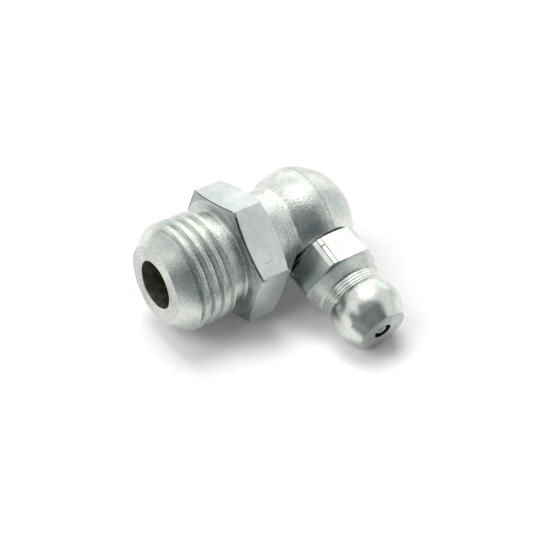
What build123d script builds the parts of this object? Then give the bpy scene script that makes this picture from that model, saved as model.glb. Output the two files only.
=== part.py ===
from build123d import *
import math
import os

# Angle grease nipple, M10 x 1, in millimetres, lying on a corner of its hexagon and on its nipple head.
# The origin is the centre of the hexagon's seat face. +X runs along the thread axis out of the thread
# end, the nipple points towards +Y and slopes down to the surface, and +Z is up.

# Threaded shank, measured from the seat face
thread_diameter = 10.0
shank_length = 6.75
end_face_diameter = 7.3
relief_diameter = 8.7
relief_width = 1.15
relief_flank = 0.35

# Hexagon
hex_across_flats = 11.0
hex_thickness = 3.45
seat_face_diameter = 10.9
seat_chamfer_angle = 15.6
back_face_diameter = 10.4
back_chamfer_angle = 21.0

# Ball-shaped elbow, distances from the seat face
neck_diameter = 8.8
ball_fillet = 1.0
ball_diameter = 10.6
ball_distance = 9.0
ring_distance = 9.15
crown_diameter = 10.84
crown_distance = 8.3

# Bores of the body
elbow_distance = 8.78
main_bore_diameter = 4.5
main_bore_overrun = 0.6
cross_bore_diameter = 5.0
drill_point_angle = 118.0
bore_edge_break = 0.05

# Nipple insert, distances from the elbow centre along the nipple axis
spot_face_distance = 3.9
spot_face_diameter = 8.0
spigot_length = 1.6
shoulder_diameter = 6.1
shoulder_height = 0.3
collar_across_flats = 7.0
collar_height = 2.85
collar_turned_diameter = 7.8
collar_base_diameter = 6.7
collar_base_angle = 18.0
collar_face_diameter = 6.8
collar_face_angle = 11.0
collar_cone_length = 0.85
collar_cone_end_diameter = 6.4
neck_waist_diameter = 5.5
neck_curve_radius = 4.0
head_diameter = 6.5
head_distance = 10.92
head_cone_distance = 11.95
head_cone_angle = 29.0
nipple_length = 13.28

# Valve inside the insert
filling_hole_diameter = 1.72
filling_lip = 0.47
seat_half_angle = 28.0
chamber_diameter = 2.5
check_ball_diameter = 2.0
seat_clearance = 0.02
tail_hole_diameter = 1.5
tail_lip = 0.35
tail_taper = 0.4

# Valve spring
wire_diameter = 0.3
wire_sides = 6
spring_clearance = 0.15
closed_turns = 1
active_turns = 6
closed_pitch = 0.33

# Resting attitude: the lowest corner line of the hexagon and the head's sphere touch one level surface
corner_radius = hex_across_flats / math.sqrt(3)
head_radius = head_diameter / 2
reach = math.hypot(corner_radius, head_distance)
lean = math.acos(head_radius / reach) - math.atan2(head_distance, corner_radius)
lean_degrees = math.degrees(lean)
nipple_direction = (0, math.cos(lean), -math.sin(lean))
elbow_centre = (-elbow_distance, 0, 0)

# Planes and axes that the pieces share
seat_plane = Plane.YZ
profile_plane = Plane.XY
insert_plane = Plane(origin=elbow_centre, x_dir=(1, 0, 0), z_dir=nipple_direction)
insert_profile_plane = Plane(origin=elbow_centre, x_dir=nipple_direction, z_dir=(1, 0, 0))
nipple_axis = Axis(elbow_centre, nipple_direction)


def cone_run(diameter, tip_diameter, angle):
    """Axial length over which a surface at this angle to the end face changes its diameter."""
    return (diameter - tip_diameter) / 2 * math.tan(math.radians(angle))


def sphere_offset(sphere_diameter, diameter):
    """Distance from a sphere's centre to the plane where its section has this diameter."""
    return math.sqrt(sphere_diameter**2 - diameter**2) / 2


# Elbow body: a chamfered hexagon, the turned shank, neck and ball, then the spot face and the bores
seat_chamfer = cone_run(2 * corner_radius, seat_face_diameter, seat_chamfer_angle)
back_chamfer = cone_run(2 * corner_radius, back_face_diameter, back_chamfer_angle)
lead_length = (thread_diameter - end_face_diameter) / 2
neck_end = ball_distance - sphere_offset(ball_diameter, neck_diameter)
ring_on_ball = math.sqrt(ball_diameter**2 / 4 - (ring_distance - ball_distance) ** 2)
ring_on_crown = math.sqrt(crown_diameter**2 / 4 - (ring_distance - crown_distance) ** 2)
crown_end = crown_distance + crown_diameter / 2
drill_point = math.tan(math.radians(90 - drill_point_angle / 2))
main_bore_end = elbow_distance + main_bore_overrun

with BuildPart() as elbow_body:
    with BuildSketch(seat_plane):
        RegularPolygon(hex_across_flats / 2, 6, major_radius=False, rotation=30 - lean_degrees)
    extrude(amount=-hex_thickness)
    with BuildSketch(profile_plane):
        with BuildLine():
            Polyline(
                (0, 0),
                (0, seat_face_diameter / 2),
                (-seat_chamfer, corner_radius),
                (back_chamfer - hex_thickness, corner_radius),
                (-hex_thickness, back_face_diameter / 2),
                (-hex_thickness, 0),
                close=True,
            )
        make_face()
    revolve(axis=Axis.X, mode=Mode.INTERSECT)
    with BuildSketch(profile_plane):
        with BuildLine():
            Polyline(
                (-crown_end, 0),
                (shank_length, 0),
                (shank_length, end_face_diameter / 2),
                (shank_length - lead_length, thread_diameter / 2),
                (relief_width + relief_flank, thread_diameter / 2),
                (relief_width, relief_diameter / 2),
                (0, relief_diameter / 2),
                (-hex_thickness, neck_diameter / 2),
                (-neck_end, neck_diameter / 2),
            )
            RadiusArc((-neck_end, neck_diameter / 2), (-ring_distance, ring_on_ball), -ball_diameter / 2)
            Line((-ring_distance, ring_on_ball), (-ring_distance, ring_on_crown))
            RadiusArc((-ring_distance, ring_on_crown), (-crown_end, 0), -crown_diameter / 2)
        make_face()
    revolve(axis=Axis.X)
    ball_corner = elbow_body.edges().filter_by_position(Axis.X, -neck_end, -neck_end)
    fillet(ball_corner, ball_fillet)
    with BuildSketch(insert_plane.offset(spot_face_distance)):
        Circle(spot_face_diameter / 2)
    extrude(amount=ball_diameter, mode=Mode.SUBTRACT)
    with BuildSketch(insert_profile_plane):
        with BuildLine():
            Polyline(
                (spot_face_distance, 0),
                (spot_face_distance, cross_bore_diameter / 2),
                (0, cross_bore_diameter / 2),
                (-cross_bore_diameter / 2 * drill_point, 0),
                close=True,
            )
        make_face()
    revolve(axis=nipple_axis, mode=Mode.SUBTRACT)
    with BuildSketch(profile_plane):
        with BuildLine():
            Polyline(
                (shank_length, 0),
                (shank_length, main_bore_diameter / 2),
                (-main_bore_end, main_bore_diameter / 2),
                (-main_bore_end - main_bore_diameter / 2 * drill_point, 0),
                close=True,
            )
        make_face()
    revolve(axis=Axis.X, mode=Mode.SUBTRACT)
    end_face = elbow_body.faces().sort_by(Axis.X)[-1]
    chamfer(end_face.inner_wires().edges(), bore_edge_break)

# Nipple insert: a chamfered hexagonal collar on a turned blank, bored for the valve from its tail
collar_start = spot_face_distance + shoulder_height
collar_end = collar_start + collar_height
base_run = cone_run(collar_turned_diameter, collar_base_diameter, collar_base_angle)
face_run = cone_run(collar_turned_diameter, collar_face_diameter, collar_face_angle)
spigot_end = spot_face_distance - spigot_length
neck_start = collar_end + collar_cone_length
head_start = head_distance - sphere_offset(head_diameter, neck_waist_diameter)
head_cone_radius = math.sqrt(head_diameter**2 / 4 - (head_cone_distance - head_distance) ** 2)
head_cone_slope = math.tan(math.radians(head_cone_angle))
end_flat_radius = head_cone_radius - (nipple_length - head_cone_distance) * head_cone_slope
lip_end = nipple_length - filling_lip
seat_slope = math.tan(math.radians(seat_half_angle))
chamber_start = spigot_end + tail_lip
chamber_end = lip_end - (chamber_diameter - filling_hole_diameter) / 2 / seat_slope

with BuildPart() as nipple_insert:
    with BuildSketch(insert_plane.offset(collar_start)):
        RegularPolygon(collar_across_flats / 2, 6, major_radius=False)
    extrude(amount=collar_height)
    with BuildSketch(insert_profile_plane):
        with BuildLine():
            Polyline(
                (collar_start, 0),
                (collar_start, collar_base_diameter / 2),
                (collar_start + base_run, collar_turned_diameter / 2),
                (collar_end - face_run, collar_turned_diameter / 2),
                (collar_end, collar_face_diameter / 2),
                (collar_end, 0),
                close=True,
            )
        make_face()
    revolve(axis=nipple_axis, mode=Mode.INTERSECT)
    with BuildSketch(insert_profile_plane):
        with BuildLine():
            Polyline(
                (nipple_length, end_flat_radius),
                (nipple_length, 0),
                (spigot_end, 0),
                (spigot_end, cross_bore_diameter / 2 - tail_taper),
                (spigot_end + tail_taper, cross_bore_diameter / 2),
                (spot_face_distance, cross_bore_diameter / 2),
                (spot_face_distance, shoulder_diameter / 2),
                (collar_start, shoulder_diameter / 2),
                (collar_end, collar_face_diameter / 2),
                (neck_start, collar_cone_end_diameter / 2),
            )
            RadiusArc(
                (neck_start, collar_cone_end_diameter / 2),
                (head_start, neck_waist_diameter / 2),
                neck_curve_radius,
            )
            RadiusArc(
                (head_start, neck_waist_diameter / 2), (head_cone_distance, head_cone_radius), head_radius
            )
            Line((head_cone_distance, head_cone_radius), (nipple_length, end_flat_radius))
        make_face()
    revolve(axis=nipple_axis)
    with BuildSketch(insert_profile_plane):
        with BuildLine():
            Polyline(
                (spigot_end, 0),
                (spigot_end, tail_hole_diameter / 2),
                (chamber_start, tail_hole_diameter / 2),
                (chamber_start, chamber_diameter / 2),
                (chamber_end, chamber_diameter / 2),
                (lip_end, filling_hole_diameter / 2),
                (nipple_length, filling_hole_diameter / 2),
                (nipple_length, 0),
                close=True,
            )
        make_face()
    revolve(axis=nipple_axis, mode=Mode.SUBTRACT)

# Check ball, just clear of the seat cone that the spring presses it against
seat_reach = (check_ball_diameter / 2 + seat_clearance) / math.cos(math.radians(seat_half_angle))
check_ball_distance = lip_end - (seat_reach - filling_hole_diameter / 2) / seat_slope

with BuildPart(insert_plane.offset(check_ball_distance)) as check_ball:
    Sphere(check_ball_diameter / 2)

# Valve spring: a helix with a closed turn at each end, from the tail lip to the ball. Its wire has flat
# sides in place of a round section, so that its many turns stay light.
spring_diameter = chamber_diameter - wire_diameter - 2 * spring_clearance
coil_to_ball = check_ball_diameter / 2 + wire_diameter / 2 + seat_clearance
spring_start = chamber_start + wire_diameter / 2 + seat_clearance
spring_end = check_ball_distance - math.sqrt(coil_to_ball**2 - spring_diameter**2 / 4)
closed_height = closed_turns * closed_pitch
active_height = spring_end - spring_start - 2 * closed_height
coil_runs = (
    (spring_start, closed_pitch, closed_height),
    (spring_start + closed_height, active_height / active_turns, active_height),
    (spring_end - closed_height, closed_pitch, closed_height),
)

with BuildPart() as valve_spring:
    for run_start, run_pitch, run_height in coil_runs:
        run_centre = insert_plane.offset(run_start).origin
        with BuildLine() as coil:
            Helix(run_pitch, run_height, spring_diameter / 2, center=run_centre, direction=nipple_direction)
        coil_start = coil.line @ 0
        outward = coil_start - run_centre
        around = Vector(nipple_direction).cross(outward)
        with BuildSketch(Plane(origin=coil_start, x_dir=outward, z_dir=around)):
            RegularPolygon(wire_diameter / 2, wire_sides)
        sweep(path=coil.line, is_frenet=True)

os.makedirs("parts", exist_ok=True)
elbow_body.part.label = "elbow_body"
export_step(elbow_body.part, "parts/elbow_body.step")
nipple_insert.part.label = "nipple_insert"
export_step(nipple_insert.part, "parts/nipple_insert.step")
check_ball.part.label = "check_ball"
export_step(check_ball.part, "parts/check_ball.step")
valve_spring.part.label = "valve_spring"
export_step(valve_spring.part, "parts/valve_spring.step")
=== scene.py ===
import math

import bpy
from mathutils import Matrix, Vector


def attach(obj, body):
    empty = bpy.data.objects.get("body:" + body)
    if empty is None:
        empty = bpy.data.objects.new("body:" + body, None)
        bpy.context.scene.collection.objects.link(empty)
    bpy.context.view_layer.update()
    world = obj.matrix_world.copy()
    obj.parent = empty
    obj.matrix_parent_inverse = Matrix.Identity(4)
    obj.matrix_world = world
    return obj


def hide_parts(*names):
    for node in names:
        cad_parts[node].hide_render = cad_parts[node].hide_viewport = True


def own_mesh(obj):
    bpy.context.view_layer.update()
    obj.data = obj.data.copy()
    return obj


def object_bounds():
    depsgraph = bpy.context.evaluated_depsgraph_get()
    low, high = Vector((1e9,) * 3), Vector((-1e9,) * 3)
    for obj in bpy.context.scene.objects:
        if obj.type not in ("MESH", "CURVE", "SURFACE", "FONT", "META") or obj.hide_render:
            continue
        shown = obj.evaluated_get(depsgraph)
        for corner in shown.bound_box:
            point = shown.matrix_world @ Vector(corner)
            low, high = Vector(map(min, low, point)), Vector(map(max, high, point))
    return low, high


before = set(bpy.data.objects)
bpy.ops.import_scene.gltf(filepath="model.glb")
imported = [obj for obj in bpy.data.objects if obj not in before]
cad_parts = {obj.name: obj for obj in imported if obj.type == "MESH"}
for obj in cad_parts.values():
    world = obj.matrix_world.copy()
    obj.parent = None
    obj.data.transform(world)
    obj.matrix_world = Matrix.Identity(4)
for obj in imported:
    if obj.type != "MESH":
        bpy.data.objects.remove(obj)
cad_low, cad_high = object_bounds()

# Pieces are shaped in millimetres about the X axis, and are brought to metres at the end
MM = 0.001
ROUND_STEPS = 192
BORE_STEPS = 96
MERGE_GAP = 0.0005

# Elbow body: the hexagon's front face is at X 0, with the shank before it and the ball behind
HEX_ACROSS = 11.0
HEX_BACK = -3.45
SHANK_END = 6.75
BORE_RADIUS = 2.25
CROWN_END = -13.72
RIM_DEPTH = 0.5
ON_FLAT = 0.002
EDGE_BREAK = 0.03

# Nipple: along its own axis from the middle of the elbow
COLLAR_ACROSS = 7.0
COLLAR_BASE = 4.04
COLLAR_TOP = 7.05
HEAD_END = 13.28
CHAMBER_RADIUS = 1.25
FILLING_HOLE_RADIUS = 0.86
BALL_RADIUS = 1.0
BALL_CENTRE = 12.2537

# How the nipple points: square to the shank, and down by this much
LEAN = math.radians(15.2731)
ELBOW = Vector((-8.78, 0, 0))
NIPPLE_AXIS = Vector((0, math.cos(LEAN), -math.sin(LEAN)))
NIPPLE_SIDE = Vector((0, math.sin(LEAN), math.cos(LEAN)))
ACROSS = Vector((1, 0, 0))

# The nipple is turned about X as well, and this lays it along its own axis at the elbow
NIPPLE_PLACE = Matrix.Translation(ELBOW) @ Matrix((NIPPLE_AXIS, NIPPLE_SIDE, ACROSS)).transposed().to_4x4()
SHANK_PLACE = Matrix.Identity(4)


# Shop tools: each one is a step that a maker does by hand


def clear_bench():
    """Nothing selected and no piece open, so that the next operator acts on its own piece only."""
    if bpy.context.mode != "OBJECT":
        bpy.ops.object.mode_set(mode="OBJECT")
    bpy.ops.object.select_all(action="DESELECT")


def take(piece):
    """Selects one piece and nothing else."""
    clear_bench()
    piece.select_set(True)
    bpy.context.view_layer.objects.active = piece


def arc(centre, radius, start, end, steps):
    """Profile points on a circle, by angles in degrees from the axis."""
    angles = [math.radians(start + (end - start) * i / steps) for i in range(steps + 1)]
    return [(centre[0] + radius * math.cos(a), centre[1] + radius * math.sin(a)) for a in angles]


def draw_profile(name, profile):
    """A line drawn point by point: each point is pulled out of the one before it."""
    clear_bench()
    bpy.ops.mesh.primitive_plane_add(size=1, location=(0, 0, 0))
    piece = bpy.context.object
    piece.name = name
    bpy.ops.object.mode_set(mode="EDIT")
    bpy.ops.mesh.merge(type="CENTER")
    bpy.ops.transform.translate(value=(profile[0][0], profile[0][1], 0))
    for here, there in zip(profile, profile[1:]):
        step = (there[0] - here[0], there[1] - here[1], 0)
        bpy.ops.mesh.extrude_vertices_move(TRANSFORM_OT_translate={"value": step})
    bpy.ops.mesh.select_all(action="SELECT")
    return piece


def turned(name, profile, steps=ROUND_STEPS):
    """A turned blank: the profile goes once round the X axis."""
    piece = draw_profile(name, profile)
    bpy.ops.mesh.spin(steps=steps, angle=math.tau, center=(0, 0, 0), axis=(1, 0, 0))
    bpy.ops.mesh.select_all(action="SELECT")
    bpy.ops.mesh.remove_doubles(threshold=MERGE_GAP)
    bpy.ops.mesh.normals_make_consistent(inside=False)
    bpy.ops.object.mode_set(mode="OBJECT")
    return piece


def finish_modifier(piece, kind, **settings):
    """Adds one modifier, sets it and applies it."""
    take(piece)
    modifier = piece.modifiers.new(kind.title(), kind)
    for setting, value in settings.items():
        setattr(modifier, setting, value)
    bpy.ops.object.modifier_apply(modifier=modifier.name)


def cut(piece, cutter, operation):
    """Joins, trims or bores a piece with another, which is used up."""
    finish_modifier(piece, "BOOLEAN", object=cutter, operation=operation, solver="EXACT")
    bpy.ops.object.mode_set(mode="EDIT")
    bpy.ops.mesh.select_all(action="SELECT")
    bpy.ops.mesh.remove_doubles(threshold=MERGE_GAP)
    bpy.ops.mesh.dissolve_degenerate(threshold=MERGE_GAP)
    bpy.ops.object.mode_set(mode="OBJECT")
    bpy.data.objects.remove(cutter)


def place(piece, matrix):
    """Moves and turns a piece, and keeps its new place in its mesh."""
    piece.matrix_world = matrix
    take(piece)
    bpy.ops.object.transform_apply(location=True, rotation=True, scale=True)


def hexagon_bar(name, across_flats, start, end, corner_angle):
    """Hexagon stock along X with a corner at this angle from Y."""
    clear_bench()
    bpy.ops.mesh.primitive_cylinder_add(
        vertices=6,
        radius=across_flats / math.sqrt(3),
        depth=end - start,
        location=((start + end) / 2, 0, 0),
        rotation=(0, math.pi / 2, 0),
    )
    piece = bpy.context.object
    piece.name = name
    bpy.ops.object.transform_apply(location=True, rotation=True, scale=True)
    place(piece, Matrix.Rotation(corner_angle, 4, "X"))
    return piece


def bevel_front_rim(piece, flat_angle, width):
    """Breaks the front edge of one flat of the hexagon, where its corners were turned off."""
    take(piece)
    flat = Vector((0, math.cos(flat_angle), math.sin(flat_angle)))
    rim = set()
    for vertex in piece.data.vertices:
        off_flat = abs(vertex.co.dot(flat) - HEX_ACROSS / 2)
        if vertex.co.x > -RIM_DEPTH and off_flat < ON_FLAT:
            rim.add(vertex.index)
    bpy.context.tool_settings.mesh_select_mode = (False, True, False)
    bpy.ops.object.mode_set(mode="EDIT")
    bpy.ops.mesh.select_all(action="DESELECT")
    bpy.ops.object.mode_set(mode="OBJECT")
    for edge in piece.data.edges:
        edge.select = set(edge.vertices) <= rim
    bpy.ops.object.mode_set(mode="EDIT")
    bpy.ops.mesh.bevel(offset=width, segments=1, affect="EDGES")
    bpy.ops.object.mode_set(mode="OBJECT")
    bpy.context.tool_settings.mesh_select_mode = (True, False, False)


def round_bar(name, radius, start, end):
    """Plain round stock along X."""
    return turned(name, [(start, 0), (start, radius), (end, radius), (end, 0)])


def v_cutter(name, width, start, end):
    """A thin three-sided bar from point to point, to score a line with."""
    middle = (Vector(start) + Vector(end)) / 2
    along = Vector(end) - Vector(start)
    clear_bench()
    bpy.ops.mesh.primitive_cylinder_add(vertices=3, radius=width / math.sqrt(3), depth=along.length)
    piece = bpy.context.object
    piece.name = name
    place(piece, Matrix.Translation(middle) @ along.to_track_quat("Z", "Y").to_matrix().to_4x4())
    return piece


def burr(name, centre, size, seed):
    """A small torn lump of metal: a ball roughened, then pressed to its size."""
    clear_bench()
    bpy.ops.mesh.primitive_ico_sphere_add(subdivisions=2, radius=1)
    piece = bpy.context.object
    piece.name = name
    bpy.ops.object.mode_set(mode="EDIT")
    bpy.ops.mesh.select_all(action="SELECT")
    bpy.ops.transform.vertex_random(offset=0.25, seed=seed)
    bpy.ops.object.mode_set(mode="OBJECT")
    place(piece, Matrix.Translation(centre) @ Matrix.Diagonal((*size, 1)))
    return piece


def done(piece, name, body, slot_name, *nodes):
    """Brings a finished piece to metres, names it, hangs it on its body and hides the CAD parts that it
    stands for.
    """
    place(piece, Matrix.Scale(MM, 4))
    piece.name = name
    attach(piece, body)
    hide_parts(*nodes)


# Elbow body: the core blank, from the shank's inside to the crown of the ball
under_thread = [(6.0, 0), (6.0, 3.4), (1.3, 3.4), (1.3, 4.35)]
thread_relief = arc((0.24, 4.6), 0.25, 270, 180, 6)
under_hexagon = [(-0.3, 4.6), (-0.3, 4.0), (-3.2, 4.0), (-3.2, 4.7)]
hexagon_fillet = arc((-3.74, 4.7), 0.3, 0, -90, 6)
neck_fillet = arc((-5.755, 5.4), 1.0, -90, -121, 6)
ball_side = arc((-9.0, 0), 5.3, 60.5, 91.4, 20)
crown_step = [(-9.15, 5.325)]
crown = arc((-8.3, 0), 5.42, 99.2, 180, 46)
crown[-1] = (CROWN_END, 0)
core_profile = under_thread + thread_relief + under_hexagon + hexagon_fillet + neck_fillet
core_profile += ball_side + crown_step + crown
body = turned("elbow_core", core_profile)

# Hexagon, its corners turned off on both faces
HEX_CORNER = math.radians(14.7269)
hexagon = hexagon_bar("hexagon", HEX_ACROSS, start=-4, end=0.5, corner_angle=HEX_CORNER)
hexagon_turning = [(0, 0), (0, 5.28), (-0.02, 5.33), (-0.36, 6.6), (-2.912, 6.6)]
hexagon_turning += [(HEX_BACK, 5.2), (HEX_BACK, 0)]
cut(hexagon, turned("hexagon_turning", hexagon_turning), "INTERSECT")
SIDE_FLAT_TURN = HEX_CORNER + math.radians(30)
UPPER_FLAT_TURN = HEX_CORNER + math.radians(90)
REAR_FLAT_TURN = HEX_CORNER + math.radians(150)
bevel_front_rim(hexagon, SIDE_FLAT_TURN, width=0.1)
bevel_front_rim(hexagon, UPPER_FLAT_TURN, width=0.04)
finish_modifier(hexagon, "BEVEL", width=EDGE_BREAK, segments=2, limit_method="ANGLE",
                angle_limit=math.radians(35), use_clamp_overlap=False)

# M10 x 1 thread: one pitch of the real profile, wound on, then trimmed to the lead and the run-out
PITCH = 1.0
THREAD_START = -1.07
THREAD_TURNS = 9
THREAD_STEPS = 160
THREAD_CUT_START = 1.15
THREAD_CUT_END = 6.95
half_thread = [(0, 4.58), (0.03, 4.588), (0.055, 4.625), (0.235, 4.937), (0.25, 4.965)]
half_thread += [(0.275, 4.988), (0.31, 5.0), (0.43, 5.0), (0.465, 4.996)]
crest_middle = [(PITCH / 2, 4.99)]
thread_profile = half_thread + crest_middle + [(PITCH - x, r) for x, r in reversed(half_thread)]
thread = draw_profile("thread", [(x + THREAD_START, r) for x, r in thread_profile])
bpy.ops.object.mode_set(mode="OBJECT")
finish_modifier(thread, "SCREW", axis="X", angle=math.tau, screw_offset=PITCH, iterations=THREAD_TURNS,
                steps=THREAD_STEPS, render_steps=THREAD_STEPS, use_merge_vertices=False,
                use_smooth_shade=False)
take(thread)
bpy.ops.object.mode_set(mode="EDIT")
bpy.ops.mesh.select_all(action="SELECT")
bpy.ops.mesh.remove_doubles(threshold=MERGE_GAP)
bpy.ops.mesh.bisect(plane_co=(THREAD_CUT_START, 0, 0), plane_no=(1, 0, 0), use_fill=True,
                    clear_inner=True)
bpy.ops.mesh.select_all(action="SELECT")
bpy.ops.mesh.bisect(plane_co=(THREAD_CUT_END, 0, 0), plane_no=(1, 0, 0), use_fill=True,
                    clear_outer=True)
bpy.ops.mesh.select_all(action="SELECT")
bpy.ops.mesh.normals_make_consistent(inside=False)
bpy.ops.object.mode_set(mode="OBJECT")
thread_limits = [(1.22, 0), (1.22, 4.25), (1.66, 5.05), (5.1, 5.05), (5.15, 5.0), (5.5, 4.72)]
thread_limits += arc((6.63, 3.6), 0.12, 40, 0, 4)
thread_limits += [(SHANK_END, 0)]
cut(thread, turned("thread_limits", thread_limits), "INTERSECT")

cut(body, hexagon, "UNION")
cut(body, thread, "UNION")

# Spot face, cross bore and main bore
spot_cutter = round_bar("spot_cutter", radius=4.0, start=3.9, end=12)
place(spot_cutter, NIPPLE_PLACE)
cut(body, spot_cutter, "DIFFERENCE")
cross_drill = turned("cross_drill", [(5, 0), (5, 2.5), (0.13, 2.5), (-1.37, 0)], BORE_STEPS)
place(cross_drill, NIPPLE_PLACE)
cut(body, cross_drill, "DIFFERENCE")
main_profile = [(6.9, 0), (6.9, 2.45), (6.7, BORE_RADIUS), (-9.38, BORE_RADIUS), (-10.73, 0)]
cut(body, turned("main_drill", main_profile, BORE_STEPS), "DIFFERENCE")

# Marks on the body: a bent scratch on the side flat, drawn as if that flat faced Y and then turned to it
on_flat = HEX_ACROSS / 2
scratch = [(-0.84, on_flat, -1.86), (-1.43, on_flat, -1.95), (-2.14, on_flat, -1.8)]
for start, end in zip(scratch, scratch[1:]):
    score = v_cutter("scratch", width=0.09, start=start, end=end)
    place(score, Matrix.Rotation(SIDE_FLAT_TURN, 4, "X"))
    cut(body, score, "DIFFERENCE")

# A score along the front rim of the rear flat
rim_score = v_cutter("rear_rim_score", width=0.17, start=(-0.25, -4.47, 4.28), end=(-0.06, -5.06, 2.05))
cut(body, rim_score, "DIFFERENCE")

# Burrs at two front corners of the hexagon and on the ball: the middle and the half sizes of each
burrs = [
    ((-0.34, 1.66, 6.045), (0.18, 0.15, 0.075)),
    ((-0.27, 1.92, 5.9), (0.08, 0.15, 0.07)),
    ((-0.5, 6.1, 1.45), (0.2, 0.08, 0.14)),
    ((-0.75, 6.08, 1.4), (0.12, 0.07, 0.1)),
    ((-7.345, 4.537, 2.183), (0.14, 0.09, 0.12)),
    ((-7.6, 4.45, 2.4), (0.09, 0.07, 0.1)),
    ((-8.279, 3.907, 3.508), (0.1, 0.05, 0.06)),
    ((-8.584, 4.459, 2.835), (0.06, 0.05, 0.1)),
]
for seed, (centre, size) in enumerate(burrs):
    cut(body, burr("burr", centre, size, seed), "UNION")
BODY_CREASE = math.radians(24)
take(body)
bpy.ops.object.shade_smooth_by_angle(angle=BODY_CREASE)

# Nipple insert: turned blank from tail to head
press_spigot = [(2.3, 0), (2.3, 2.1), (2.7, 2.5), (3.9, 2.5)]
shoulder = [(3.9, 3.05), (4.3, 3.05), (4.3, 2.8)]
collar_cone = [(6.7, 2.8), (6.7, 3.385), (7.08, 3.383), (8.1, 3.11), (8.2, 3.0)]
insert_profile = press_spigot + shoulder + collar_cone

# Turning ridges on the neck, each with a sharp edge towards the head
NECK_RIDGES = 3
RIDGE_SPACING = 0.27
RIDGE_WIDTH = 0.22
RIDGE_RISE = 0.015
NECK_TAPER = 0.035
NECK_START = 8.25
NECK_RADIUS = 2.87
for ridge in range(NECK_RIDGES):
    start = NECK_START + RIDGE_SPACING * ridge
    neck_radius = NECK_RADIUS - NECK_TAPER * ridge
    insert_profile += [(start, neck_radius), (start + RIDGE_WIDTH, neck_radius + RIDGE_RISE)]
neck_end = [(9.06, 2.75), (9.15, 2.76)]
head_ball = arc((10.92, 0), 3.25, 122, 71.5, 30)
head_cone = [(11.95, 3.0825), (13.24, 2.367), (HEAD_END, 2.32), (HEAD_END, 0)]
insert_profile += neck_end + head_ball + head_cone
insert = turned("nipple_blank", insert_profile)

# Collar: hexagon bar with its corners turned off
collar = hexagon_bar("collar", COLLAR_ACROSS, start=3.8, end=7.5, corner_angle=math.pi / 2)
collar_turning = [(COLLAR_BASE, 0), (COLLAR_BASE, 3.4), (4.15, 3.87), (6.96, 3.87)]
collar_turning += [(COLLAR_TOP, 3.4), (COLLAR_TOP, 0)]
cut(collar, turned("collar_turning", collar_turning), "INTERSECT")
finish_modifier(collar, "BEVEL", width=EDGE_BREAK, segments=2, limit_method="ANGLE",
                angle_limit=math.radians(20), use_clamp_overlap=False)
cut(insert, collar, "UNION")

# Marks on the collar: two lines along the corner beside its upper flat, and a nick across them
upper_line = v_cutter("corner_line", width=0.1, start=(3.9, 3.49, 1.33), end=(7.2, 3.49, 1.4))
cut(insert, upper_line, "DIFFERENCE")
lower_line = v_cutter("corner_line", width=0.11, start=(3.9, 3.43, 1.78), end=(7.3, 3.41, 1.86))
cut(insert, lower_line, "DIFFERENCE")
nick = v_cutter("corner_nick", width=0.15, start=(4.85, 3.5, 1.45), end=(5.0, 3.38, 2.05))
cut(insert, nick, "DIFFERENCE")

# Valve bore from the crimped tail: spring chamber, ball seat and filling hole
TAIL_HOLE_RADIUS = 0.75
valve_bore = [(2.0, 0), (2.0, TAIL_HOLE_RADIUS), (2.65, TAIL_HOLE_RADIUS), (2.65, CHAMBER_RADIUS)]
valve_bore += [(12.0765, CHAMBER_RADIUS), (12.81, FILLING_HOLE_RADIUS), (13.5, FILLING_HOLE_RADIUS)]
valve_bore += [(13.5, 0)]
cut(insert, turned("valve_cutter", valve_bore, BORE_STEPS), "DIFFERENCE")
NIPPLE_CREASE = math.radians(9)
place(insert, NIPPLE_PLACE)
take(insert)
bpy.ops.object.shade_smooth_by_angle(angle=NIPPLE_CREASE)

# Check ball
ball_profile = [(BALL_CENTRE - BALL_RADIUS, 0)]
ball_profile += arc((BALL_CENTRE, 0), BALL_RADIUS, 176, 4, 44)
ball_profile += [(BALL_CENTRE + BALL_RADIUS, 0)]
ball = turned("check_ball", ball_profile, BORE_STEPS)
place(ball, NIPPLE_PLACE)
take(ball)
bpy.ops.object.shade_smooth()

# Valve spring: round wire, closed turns at both ends and open ones between
WIRE_RADIUS = 0.15
SPRING_RADIUS = 0.95
CLOSED_PITCH = 0.33
SPRING_START = 2.82
SPRING_END = 11.35
ACTIVE_TURNS = 6
WIRE_SIDES = 16
TURN_STEPS = 48
WIRE_MERGE_GAP = 0.001


def wire_run(start, pitch, turns):
    """Wire wound on about the X axis: a round section in a plane through the axis, screwed along it."""
    clear_bench()
    middle = (start, SPRING_RADIUS, 0)
    bpy.ops.mesh.primitive_circle_add(vertices=WIRE_SIDES, radius=WIRE_RADIUS, location=middle)
    run = bpy.context.object
    bpy.ops.object.transform_apply(location=True, rotation=True, scale=True)
    finish_modifier(run, "SCREW", axis="X", angle=math.tau, screw_offset=pitch, iterations=turns,
                    steps=TURN_STEPS, render_steps=TURN_STEPS, use_merge_vertices=False,
                    use_smooth_shade=True)
    return run


active_start = SPRING_START + CLOSED_PITCH
active_end = SPRING_END - CLOSED_PITCH
spring = wire_run(SPRING_START, CLOSED_PITCH, 1)
active_coils = wire_run(active_start, (active_end - active_start) / ACTIVE_TURNS, ACTIVE_TURNS)
end_coil = wire_run(active_end, CLOSED_PITCH, 1)
take(spring)
active_coils.select_set(True)
end_coil.select_set(True)
bpy.ops.object.join()
bpy.ops.object.mode_set(mode="EDIT")
bpy.ops.mesh.select_all(action="SELECT")
bpy.ops.mesh.remove_doubles(threshold=WIRE_MERGE_GAP)
bpy.ops.mesh.fill_holes(sides=0)
bpy.ops.mesh.select_all(action="SELECT")
bpy.ops.mesh.normals_make_consistent(inside=False)
bpy.ops.object.mode_set(mode="OBJECT")
WIRE_CREASE = math.radians(50)
place(spring, NIPPLE_PLACE)
take(spring)
bpy.ops.object.shade_smooth_by_angle(angle=WIRE_CREASE)

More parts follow.
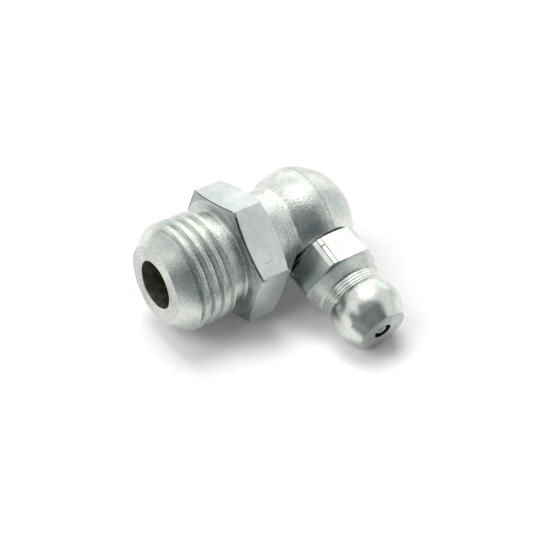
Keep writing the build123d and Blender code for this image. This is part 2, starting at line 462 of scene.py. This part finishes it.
done(spring, "valve_spring_wire", "fitting", "spring_steel", "valve_spring")
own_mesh(spring)
done(body, "elbow_body_detail", "fitting", "zinc_plated_steel", "elbow_body")
done(insert, "nipple_insert_detail", "fitting", "zinc_plated_steel", "nipple_insert")
done(ball, "check_ball_detail", "valve_ball", "bearing_steel", "check_ball")


# Finishes


def hex_colour(code):
    """sRGB hex to the linear colour that a shader takes, by the curve of the sRGB standard."""
    levels = [int(code[i:i + 2], 16) / 255 for i in (1, 3, 5)]
    linear = [v / 12.92 if v <= 0.04045 else ((v + 0.055) / 1.055) ** 2.4 for v in levels]
    return (*linear, 1)


def node(tree, kind, links=None, **settings):
    """Adds a node with its settings; each link is a value or another node's output."""
    made = tree.nodes.new(kind)
    for name, value in settings.items():
        setattr(made, name, value)
    for socket, value in (links or {}).items():
        if isinstance(value, bpy.types.NodeSocket):
            tree.links.new(value, made.inputs[socket])
        else:
            made.inputs[socket].default_value = value
    return made


def new_finish(name):
    """A new material with its node tree and its shader."""
    finish = bpy.data.materials.new(name)
    finish.use_nodes = True
    return finish, finish.node_tree, finish.node_tree.nodes["Principled BSDF"]


def millimetres_on_axis(tree, axis_place):
    """Object coordinates in millimetres, with X along the axis that the piece was turned about."""
    to_axis = axis_place.inverted()
    links = {
        "Vector": node(tree, "ShaderNodeTexCoord").outputs["Object"],
        "Location": to_axis.translation,
        "Rotation": to_axis.to_euler(),
        "Scale": (1 / MM, 1 / MM, 1 / MM),
    }
    return node(tree, "ShaderNodeMapping", links).outputs["Vector"]


# The colour of the painted shade in the recesses, and of the bare steel in the pits
SHADE_AND_PIT_STEEL = "#6f787b"


def zinc_colour_and_gloss(tree, shader, spot, dull, bright, rough_low, rough_high, shade_and_pits=None):
    """Blue-passivated zinc: bluish white metal with cloudy greenish and grey films, 1 to 5 mm wide."""
    links = {"Vector": spot, "Scale": 0.28, "Detail": 4.0, "Roughness": 0.6}
    clouds = node(tree, "ShaderNodeTexNoise", links)
    film = node(tree, "ShaderNodeValToRGB", {"Fac": clouds.outputs["Fac"]})
    film.color_ramp.elements[0].position = 0.36
    film.color_ramp.elements[0].color = hex_colour(dull)
    film.color_ramp.elements[1].position = 0.62
    film.color_ramp.elements[1].color = hex_colour(bright)
    colour = film.outputs["Color"]
    # Painted shade in the recesses and bare steel in the pits darken the zinc colour
    if shade_and_pits is not None:
        # A Mix node's colours are its inputs 6 and 7 and its output 2
        links = {0: shade_and_pits, 6: colour, 7: hex_colour(SHADE_AND_PIT_STEEL)}
        colour = node(tree, "ShaderNodeMix", links, data_type="RGBA").outputs[2]
    tree.links.new(colour, shader.inputs["Base Color"])
    links = {"Vector": spot, "Scale": 1.3, "Detail": 5.0, "Roughness": 0.65}
    patches = node(tree, "ShaderNodeTexNoise", links)
    links = {"Value": patches.outputs["Fac"], "From Min": 0.3, "From Max": 0.7,
             "To Min": rough_low, "To Max": rough_high}
    gloss = node(tree, "ShaderNodeMapRange", links)
    tree.links.new(gloss.outputs["Result"], shader.inputs["Roughness"])
    shader.inputs["Metallic"].default_value = 1.0


def band(tree, value, low, high, soft):
    """One between low and high, with soft ends, and nothing outside them."""
    links = {"Value": value, "From Min": low - soft, "From Max": low + soft}
    rise = node(tree, "ShaderNodeMapRange", links)
    links = {"Value": value, "From Min": high + soft, "From Max": high - soft}
    fall = node(tree, "ShaderNodeMapRange", links)
    links = {0: rise.outputs["Result"], 1: fall.outputs["Result"]}
    return node(tree, "ShaderNodeMath", links, operation="MULTIPLY").outputs["Value"]


def zinc_on_turning(name, axis_place, rough_low, rough_high, ring_depth, fine_depth, grain_depth,
                    recesses, pitting):
    """Electroplated zinc over turned steel: fine rings round the axis that break up each reflection."""
    finish, tree, shader = new_finish(name)
    spot = millimetres_on_axis(tree, axis_place)
    split = node(tree, "ShaderNodeSeparateXYZ", {"Vector": spot})
    across = node(tree, "ShaderNodeCombineXYZ", {"Y": split.outputs["Y"], "Z": split.outputs["Z"]})
    radius = node(tree, "ShaderNodeVectorMath", {0: across.outputs["Vector"]}, operation="LENGTH")
    # Painted shade: the recesses are darkened, given as low and high along the axis and from it
    shade_and_pits = None
    for start, end, inner, outer, depth in recesses:
        along = band(tree, split.outputs["X"], start, end, 0.08)
        out = band(tree, radius.outputs["Value"], inner, outer, 0.06)
        inside = node(tree, "ShaderNodeMath", {0: along, 1: out}, operation="MULTIPLY")
        links = {0: inside.outputs["Value"], 1: depth}
        here = node(tree, "ShaderNodeMath", links, operation="MULTIPLY").outputs["Value"]
        if shade_and_pits is None:
            shade_and_pits = here
        else:
            shade_and_pits = node(tree, "ShaderNodeMath", {0: shade_and_pits, 1: here}, operation="MAXIMUM").outputs["Value"]
    # Pits 0.1 to 0.2 mm wide, where the plating is thin over torn metal
    pits = node(tree, "ShaderNodeTexNoise", {"Vector": spot, "Scale": 5.5, "Detail": 4.0, "Roughness": 0.7})
    links = {"Value": pits.outputs["Fac"], "From Min": 0.5, "From Max": 0.62,
             "To Min": 0.0, "To Max": pitting}
    pitted = node(tree, "ShaderNodeMapRange", links).outputs["Result"]
    shade_and_pits = node(tree, "ShaderNodeMath", {0: shade_and_pits, 1: pitted}, operation="MAXIMUM").outputs["Value"]
    zinc_colour_and_gloss(tree, shader, spot, dull="#b6bcb8", bright="#dcdfd8",
                          rough_low=rough_low, rough_high=rough_high, shade_and_pits=shade_and_pits)
    ring_place = node(tree, "ShaderNodeCombineXYZ", {"X": split.outputs["X"], "Y": radius.outputs["Value"]})
    # Tool marks 0.05 mm apart on the real surface, drawn 0.1 to 0.3 mm apart so that they show
    links = {"Vector": ring_place.outputs["Vector"], "Scale": 2.8, "Detail": 3.0, "Roughness": 0.6}
    rings = node(tree, "ShaderNodeTexNoise", links, noise_dimensions="2D")
    links = {"Vector": ring_place.outputs["Vector"], "Scale": 9.0, "Detail": 1.0}
    fine = node(tree, "ShaderNodeTexNoise", links, noise_dimensions="2D")
    # Grain of the plating 0.02 mm wide on the real surface, drawn 0.2 mm wide so that it shows
    grain = node(tree, "ShaderNodeTexNoise", {"Vector": spot, "Scale": 4.5, "Detail": 4.0, "Roughness": 0.65})
    ring_bump = node(tree, "ShaderNodeBump", {"Height": rings.outputs["Fac"], "Distance": ring_depth * MM})
    links = {"Height": fine.outputs["Fac"], "Distance": fine_depth * MM,
             "Normal": ring_bump.outputs["Normal"]}
    fine_bump = node(tree, "ShaderNodeBump", links)
    links = {"Height": grain.outputs["Fac"], "Distance": grain_depth * MM,
             "Normal": fine_bump.outputs["Normal"]}
    grain_bump = node(tree, "ShaderNodeBump", links)
    tree.links.new(grain_bump.outputs["Normal"], shader.inputs["Normal"])
    return finish


def zinc_on_drawn_bar(name, axis_place, dull, bright, rough_low, rough_high, line_depth, grain_depth):
    """Electroplated zinc over cold-drawn hexagon bar: smooth flats with faint lines along the bar."""
    finish, tree, shader = new_finish(name)
    spot = millimetres_on_axis(tree, axis_place)
    zinc_colour_and_gloss(tree, shader, spot, dull, bright, rough_low, rough_high)
    along = node(tree, "ShaderNodeMapping", {"Vector": spot, "Scale": (0.04, 1.0, 1.0)})
    # Drawing lines 0.02 mm apart on the real bar, drawn 0.3 mm apart so that they show
    links = {"Vector": along.outputs["Vector"], "Scale": 3.0, "Detail": 3.0, "Roughness": 0.6}
    lines = node(tree, "ShaderNodeTexNoise", links)
    grain = node(tree, "ShaderNodeTexNoise", {"Vector": spot, "Scale": 3.0, "Detail": 3.0, "Roughness": 0.5})
    links = {"Height": lines.outputs["Fac"], "Strength": 1.0, "Distance": line_depth * MM}
    line_bump = node(tree, "ShaderNodeBump", links)
    links = {"Height": grain.outputs["Fac"], "Strength": 1.0, "Distance": grain_depth * MM,
             "Normal": line_bump.outputs["Normal"]}
    grain_bump = node(tree, "ShaderNodeBump", links)
    tree.links.new(grain_bump.outputs["Normal"], shader.inputs["Normal"])
    return finish


def polished_bearing_steel():
    """Ground and lapped bearing ball: an almost perfect mirror, slightly warm grey."""
    finish, tree, shader = new_finish("lapped_bearing_steel")
    spot = millimetres_on_axis(tree, NIPPLE_PLACE)
    haze = node(tree, "ShaderNodeTexNoise", {"Vector": spot, "Scale": 2.0, "Detail": 4.0})
    links = {"Value": haze.outputs["Fac"], "From Min": 0.3, "From Max": 0.7, "To Min": 0.05, "To Max": 0.14}
    tree.links.new(node(tree, "ShaderNodeMapRange", links).outputs["Result"], shader.inputs["Roughness"])
    shader.inputs["Base Color"].default_value = hex_colour("#d4d4d1")
    shader.inputs["Metallic"].default_value = 1.0
    return finish


def drawn_spring_wire():
    """Patented cold-drawn wire: grey steel with a soft sheen and fine lines round the coil."""
    finish, tree, shader = new_finish("cold_drawn_spring_wire")
    spot = millimetres_on_axis(tree, NIPPLE_PLACE)
    film = node(tree, "ShaderNodeTexNoise", {"Vector": spot, "Scale": 3.0, "Detail": 4.0})
    tone = node(tree, "ShaderNodeValToRGB", {"Fac": film.outputs["Fac"]})
    tone.color_ramp.elements[0].color = hex_colour("#85878a")
    tone.color_ramp.elements[1].color = hex_colour("#b3b4b6")
    tree.links.new(tone.outputs["Color"], shader.inputs["Base Color"])
    stretched = node(tree, "ShaderNodeMapping", {"Vector": spot, "Scale": (1.0, 0.2, 0.2)})
    # Drawing lines 0.01 mm apart on the real wire, drawn 0.05 mm apart so that they show
    lines = node(tree, "ShaderNodeTexNoise", {"Vector": stretched.outputs["Vector"], "Scale": 20.0})
    bump = node(tree, "ShaderNodeBump", {"Height": lines.outputs["Fac"], "Distance": 0.01 * MM})
    tree.links.new(bump.outputs["Normal"], shader.inputs["Normal"])
    shader.inputs["Metallic"].default_value = 1.0
    shader.inputs["Roughness"].default_value = 0.32
    return finish


def unplated_bore_steel(name, dark, light):
    """Drilled steel that plating doesn't reach, stained from the dark to the light colour given: old cutting
    oil in the main bore, a near-black painted shade in the valve bore.
    """
    finish, tree, shader = new_finish(name)
    spot = millimetres_on_axis(tree, SHANK_PLACE)
    stains = node(tree, "ShaderNodeTexNoise", {"Vector": spot, "Scale": 1.6, "Detail": 4.0, "Roughness": 0.6})
    film = node(tree, "ShaderNodeValToRGB", {"Fac": stains.outputs["Fac"]})
    film.color_ramp.elements[0].position = 0.4
    film.color_ramp.elements[0].color = hex_colour(dark)
    film.color_ramp.elements[1].position = 0.7
    film.color_ramp.elements[1].color = hex_colour(light)
    tree.links.new(film.outputs["Color"], shader.inputs["Base Color"])
    bump = node(tree, "ShaderNodeBump", {"Height": stains.outputs["Fac"], "Distance": 0.03 * MM})
    tree.links.new(bump.outputs["Normal"], shader.inputs["Normal"])
    shader.inputs["Metallic"].default_value = 1.0
    shader.inputs["Roughness"].default_value = 0.45
    return finish


def coat(piece, finish):
    """Gives the whole piece one finish."""
    piece.data.materials.clear()
    piece.data.materials.append(finish)


def coat_faces(piece, finish, wanted):
    """Gives the finish to the faces that the test picks by their centre and normal, in metres."""
    piece.data.materials.append(finish)
    for face in piece.data.polygons:
        if wanted(face.center, face.normal):
            face.material_index = len(piece.data.materials) - 1


# In square millimetres: bevels and the walls of scratches are smaller than this
SMALLEST_FLAT = 0.5


def keep_flat(piece, wanted):
    """Flats keep one normal all over, up to their rounded edges."""
    for face in piece.data.polygons:
        if wanted(face.center, face.normal) and face.area > SMALLEST_FLAT * MM * MM:
            face.use_smooth = False


ANY_FACING = 2.0
SQUARE_TO_AXIS = 0.05


def lies_within(axis_place, start, end, inner, outer, facing_limit=ANY_FACING):
    """A test for faces by place along and from this axis, and by how far they face along it."""
    to_axis = axis_place.inverted()

    def test(centre, normal):
        spot = to_axis @ (centre / MM)
        facing = to_axis.to_3x3() @ normal
        radius = Vector((0, spot.y, spot.z)).length
        return start < spot.x < end and inner < radius < outer and abs(facing.x) < facing_limit

    return test


def is_in_collar_marks(centre, normal):
    """The walls of the lines and the nick along the upper corner of the collar."""
    spot = NIPPLE_PLACE.inverted() @ (centre / MM)
    by_corner = 3.95 < spot.x < 6.95 and 1.0 < spot.z < 2.2
    below_flat = 3.2 < spot.y < 3.496
    below_strip = math.hypot(spot.y, spot.z) < 3.866
    return by_corner and below_flat and below_strip


def is_on_shaded_rim(centre, normal):
    """The broken front edges of the side flat and the upper flat, and the scored one of the rear flat, which
    get a dark painted shade.
    """
    spot = centre / MM
    just_under_flat = HEX_ACROSS / 2 - 0.001
    clear_of_burr = math.hypot(spot.y, spot.z) < 6.15
    for turn in (SIDE_FLAT_TURN, UPPER_FLAT_TURN):
        flat = Vector((0, math.cos(turn), math.sin(turn)))
        on_rim = 5.38 < spot.dot(flat) < just_under_flat and -0.55 < spot.x < -0.01
        leans_forward = 0.3 < normal.x < 0.93 and normal.dot(flat) > 0.4
        if on_rim and clear_of_burr and leans_forward:
            return True
    flat = Vector((0, math.cos(REAR_FLAT_TURN), math.sin(REAR_FLAT_TURN)))
    in_score = 5.3 < spot.dot(flat) < just_under_flat and -0.4 < spot.x < 0.01 and spot.z > 2
    return in_score and normal.x < 0.93


# Recesses given a painted shade: start and end along the axis, inner and outer radius, and how dark the shade
# is
front_relief = (-0.6, 0.3, 4.2, 5.25, 0.3)
front_corners = (-0.6, 0.3, 5.38, 6.5, 0.6)
behind_hexagon = (-3.7, -3.36, 4.2, 6.4, 0.6)
under_collar = (3.85, 4.2, 2.4, 3.5, 0.5)
body_recesses = [front_relief, front_corners, behind_hexagon]
nipple_recesses = [under_collar]

# The finishes of this fitting, with their depths in millimetres
turned_body = zinc_on_turning(
    "blue_passivated_zinc_on_turned_body", SHANK_PLACE, rough_low=0.16, rough_high=0.32,
    ring_depth=0.017, fine_depth=0.01, grain_depth=0.032, recesses=body_recesses, pitting=0.2)
turned_insert = zinc_on_turning(
    "blue_passivated_zinc_on_turned_nipple", NIPPLE_PLACE, rough_low=0.14, rough_high=0.28,
    ring_depth=0.011, fine_depth=0.006, grain_depth=0.016, recesses=nipple_recesses, pitting=0.12)
coarse_insert = zinc_on_turning(
    "blue_passivated_zinc_on_coarse_turned_cone", NIPPLE_PLACE, rough_low=0.42, rough_high=0.52,
    ring_depth=0.012, fine_depth=0.008, grain_depth=0.02, recesses=nipple_recesses, pitting=0.3)
rough_end = zinc_on_turning(
    "blue_passivated_zinc_on_sawn_end", SHANK_PLACE, rough_low=0.25, rough_high=0.45,
    ring_depth=0.02, fine_depth=0.04, grain_depth=0.14, recesses=body_recesses, pitting=0.6)
drawn_body = zinc_on_drawn_bar(
    "blue_passivated_zinc_on_drawn_hexagon", SHANK_PLACE, dull="#b9c1c1", bright="#d0d6d5",
    rough_low=0.14, rough_high=0.22, line_depth=0.002, grain_depth=0.003)
drawn_insert = zinc_on_drawn_bar(
    "blue_passivated_zinc_on_drawn_collar", NIPPLE_PLACE, dull="#cfd4cf", bright="#e8ebe6",
    rough_low=0.15, rough_high=0.25, line_depth=0.012, grain_depth=0.004)
scored_zinc = zinc_on_drawn_bar(
    "scored_zinc_in_collar_marks", NIPPLE_PLACE, dull="#9da2a0", bright="#bdc1bd",
    rough_low=0.3, rough_high=0.45, line_depth=0.004, grain_depth=0.01)
# Painted shade and painted dark reflection: dark zinc on the broken hexagon rims and in the score
shaded_rim = zinc_on_drawn_bar(
    "zinc_with_painted_shade_on_hexagon_rim", SHANK_PLACE, dull="#4e5455", bright="#757b7b",
    rough_low=0.25, rough_high=0.4, line_depth=0.004, grain_depth=0.01)
dark_bore = unplated_bore_steel("oil_darkened_bore_steel", dark="#8f8d82", light="#c6c3b8")
# Painted shade: the valve bore is coloured near black, for the shade deep in the small hole
shaded_valve_bore = unplated_bore_steel("valve_bore_steel_with_painted_shade", dark="#2a2a27", light="#454440")

# Which faces get which finish: the limits leave a little room round each surface
on_hexagon_flats = lies_within(
    SHANK_PLACE, start=HEX_BACK - 0.05, end=0, inner=5.4, outer=6.5, facing_limit=SQUARE_TO_AXIS)
on_hexagon_front = lies_within(
    SHANK_PLACE, start=-0.005, end=0.005, inner=-1, outer=HEX_ACROSS / 2)
on_shank_end = lies_within(
    SHANK_PLACE, start=SHANK_END - 0.01, end=SHANK_END + 0.01, inner=-1, outer=3.7)
in_body_bores = lies_within(
    SHANK_PLACE, start=-11, end=6.68, inner=0, outer=BORE_RADIUS + 0.05)
on_collar_sides = lies_within(
    NIPPLE_PLACE, start=4.2, end=COLLAR_TOP + 0.05, inner=3.45, outer=4.1, facing_limit=SQUARE_TO_AXIS)
on_collar_flats = lies_within(
    NIPPLE_PLACE, start=4.2, end=COLLAR_TOP + 0.05, inner=3.45, outer=3.6, facing_limit=SQUARE_TO_AXIS)
on_collar_cone = lies_within(
    NIPPLE_PLACE, start=7.02, end=8.21, inner=2.9, outer=3.45)
in_valve_bore = lies_within(
    NIPPLE_PLACE, start=2, end=HEAD_END - 0.02, inner=0, outer=CHAMBER_RADIUS + 0.05)

coat(body, turned_body)
coat_faces(body, shaded_rim, is_on_shaded_rim)
coat_faces(body, drawn_body, on_hexagon_flats)
coat_faces(body, rough_end, on_shank_end)
coat_faces(body, dark_bore, in_body_bores)
keep_flat(body, on_hexagon_flats)
keep_flat(body, on_hexagon_front)
keep_flat(body, on_shank_end)
coat(insert, turned_insert)
coat_faces(insert, drawn_insert, on_collar_sides)
coat_faces(insert, scored_zinc, is_in_collar_marks)
coat_faces(insert, coarse_insert, on_collar_cone)
coat_faces(insert, shaded_valve_bore, in_valve_bore)
keep_flat(insert, on_collar_flats)
coat(ball, polished_bearing_steel())
coat(spring, drawn_spring_wire())


# Floor, light and camera


def shown_directly(tree):
    """One where the camera looks, or looks by way of metal or glass, and nothing where light is given."""
    rays = node(tree, "ShaderNodeLightPath")
    links = {0: rays.outputs["Is Camera Ray"], 1: rays.outputs["Is Glossy Ray"]}
    seen = node(tree, "ShaderNodeMath", links, operation="MAXIMUM")
    links = {0: seen.outputs["Value"], 1: rays.outputs["Is Transmission Ray"]}
    return node(tree, "ShaderNodeMath", links, operation="MAXIMUM").outputs["Value"]


FLOOR_SIZE = 4
PAPER_LIFT = 0.03
FAR_PAPER_LIFT = 0.75
NEAR_PAPER = 0.05
FAR_PAPER = 0.6
clear_bench()
bpy.ops.mesh.primitive_plane_add(size=FLOOR_SIZE, location=(0, 0, cad_low.z))
floor = bpy.context.object
floor.name = "floor"
# White drawing paper: dead matt, with fibres only a millimetre long
paper, tree, shader = new_finish("white_paper_floor")
from_object = node(tree, "ShaderNodeTexCoord").outputs["Object"]
fibres = node(tree, "ShaderNodeTexNoise", {"Vector": from_object, "Scale": 900.0})
links = {"Value": fibres.outputs["Fac"], "From Min": 0.3, "From Max": 0.7, "To Min": 0.85, "To Max": 0.95}
tree.links.new(node(tree, "ShaderNodeMapRange", links).outputs["Result"], shader.inputs["Roughness"])
shader.inputs["Base Color"].default_value = hex_colour("#ffffff")
shader.inputs["Specular IOR Level"].default_value = 0.0
# The lamps reach only the paper near the object, so the far paper is lifted up to the white behind it
distance = node(tree, "ShaderNodeVectorMath", {0: from_object}, operation="LENGTH")
links = {"Value": distance.outputs["Value"], "From Min": NEAR_PAPER, "From Max": FAR_PAPER,
         "To Min": PAPER_LIFT, "To Max": FAR_PAPER_LIFT}
paper_lift = node(tree, "ShaderNodeMapRange", links).outputs["Result"]
lift = node(tree, "ShaderNodeMath", {0: shown_directly(tree), 1: paper_lift}, operation="MULTIPLY")
tree.links.new(lift.outputs["Value"], shader.inputs["Emission Strength"])
shader.inputs["Emission Color"].default_value = hex_colour("#ffffff")
floor.data.materials.append(paper)


def facing_object(azimuth, elevation, distance):
    """Place and turn of something that looks at the object from this direction, azimuth from X towards Y."""
    azimuth = math.radians(azimuth)
    elevation = math.radians(elevation)
    flat = math.cos(elevation)
    away = Vector((flat * math.cos(azimuth), flat * math.sin(azimuth), math.sin(elevation)))
    return Matrix.Translation(away * distance) @ away.to_track_quat("Z", "Y").to_matrix().to_4x4()


def soft_box(name, azimuth, elevation, distance, width, height, power, colour):
    """A studio lamp with a rectangular white face. It doesn't show itself."""
    lamp_data = bpy.data.lights.new(name, "AREA")
    lamp_data.shape = "RECTANGLE"
    lamp_data.size = width
    lamp_data.size_y = height
    lamp_data.energy = power
    lamp_data.color = hex_colour(colour)[:3]
    lamp = bpy.data.objects.new(name, lamp_data)
    bpy.context.scene.collection.objects.link(lamp)
    lamp.matrix_world = facing_object(azimuth, elevation, distance)
    lamp.visible_camera = False
    return lamp


def room_card(name, where, width, height, colour, glow=0.0):
    """Matt felt that only the metal mirrors: dull for the dark side of the room, glowing for a pale wall."""
    clear_bench()
    bpy.ops.mesh.primitive_plane_add(size=1)
    card = bpy.context.object
    card.name = name
    card.matrix_world = where @ Matrix.Diagonal((width, height, 1, 1))
    felt, tree, shader = new_finish(name + "_felt")
    shader.inputs["Base Color"].default_value = hex_colour(colour)
    shader.inputs["Roughness"].default_value = 0.9
    shader.inputs["Emission Color"].default_value = hex_colour("#ffffff")
    shader.inputs["Emission Strength"].default_value = glow
    card.data.materials.append(felt)
    card.visible_camera = False
    card.visible_diffuse = False
    card.visible_shadow = False


# Lamps that the metal mirrors: the small one lights the paper as well, the large one doesn't
soft_box("overhead_softbox", azimuth=-105, elevation=75, distance=0.6,
         width=0.42, height=0.36, power=0.58, colour="#fffffa")
rear_panel = soft_box("rear_panel", azimuth=-130, elevation=39, distance=1.0,
                      width=1.5, height=1.0, power=2.7, colour="#fbfff6")
rear_panel.visible_diffuse = False

# Lamps that light the paper only: between them they give the soft shadow its shape
ceiling_bounce = soft_box("ceiling_bounce", azimuth=-105, elevation=76, distance=0.8,
                          width=0.5, height=0.5, power=3.3, colour="#ffffff")
ceiling_bounce.visible_glossy = False
front_fill = soft_box("front_fill", azimuth=-8, elevation=47, distance=0.8,
                      width=0.6, height=0.5, power=3.5, colour="#ffffff")
front_fill.visible_glossy = False

# The room round the object, as the metal mirrors it
GREY_FELT = "#8a9498"
room_card("dark_room", facing_object(azimuth=65, elevation=33, distance=0.6),
          width=1.06, height=1.1, colour=GREY_FELT)
room_card("dark_stand", facing_object(azimuth=108, elevation=3, distance=0.55),
          width=0.3, height=0.38, colour=GREY_FELT)
room_card("dark_doorway", facing_object(azimuth=6, elevation=5, distance=0.56),
          width=0.3, height=0.36, colour="#6f7678")
room_card("pale_wall", facing_object(azimuth=168, elevation=30, distance=0.7),
          width=0.5, height=0.6, colour="#969d9f", glow=0.58)

# The dark edge of the table: a square that lies flat on the paper, beside the object
CLEAR_OF_PAPER = 0.0002
room_card("table_edge", Matrix.Translation((0.28, 0.314, cad_low.z + CLEAR_OF_PAPER)),
          width=0.6, height=0.6, colour=GREY_FELT)

# White for all that shows it, and plainer in the light that it gives
world = bpy.data.worlds.new("studio")
bpy.context.scene.world = world
world.use_nodes = True
tree = world.node_tree
links = {"Value": shown_directly(tree), "To Min": 0.2, "To Max": 1.0}
strength = node(tree, "ShaderNodeMapRange", links)
tree.links.new(strength.outputs["Result"], tree.nodes["Background"].inputs["Strength"])
tree.nodes["Background"].inputs["Color"].default_value = (1, 1, 1, 1)

# The lens and place of the camera, in metres and degrees
camera_data = bpy.data.cameras.new("camera")
camera = bpy.data.objects.new("camera", camera_data)
bpy.context.scene.collection.objects.link(camera)
camera.location = (0.0507477, 0.0723817, 0.0760596)
camera.rotation_euler = [math.radians(a) for a in (48.6786, -2.5344, 143.8337)]
camera_data.sensor_width = 36
camera_data.lens = 85.108
camera_data.clip_start = 0.005
bpy.context.scene.camera = camera
bpy.context.scene.view_settings.view_transform = "Standard"
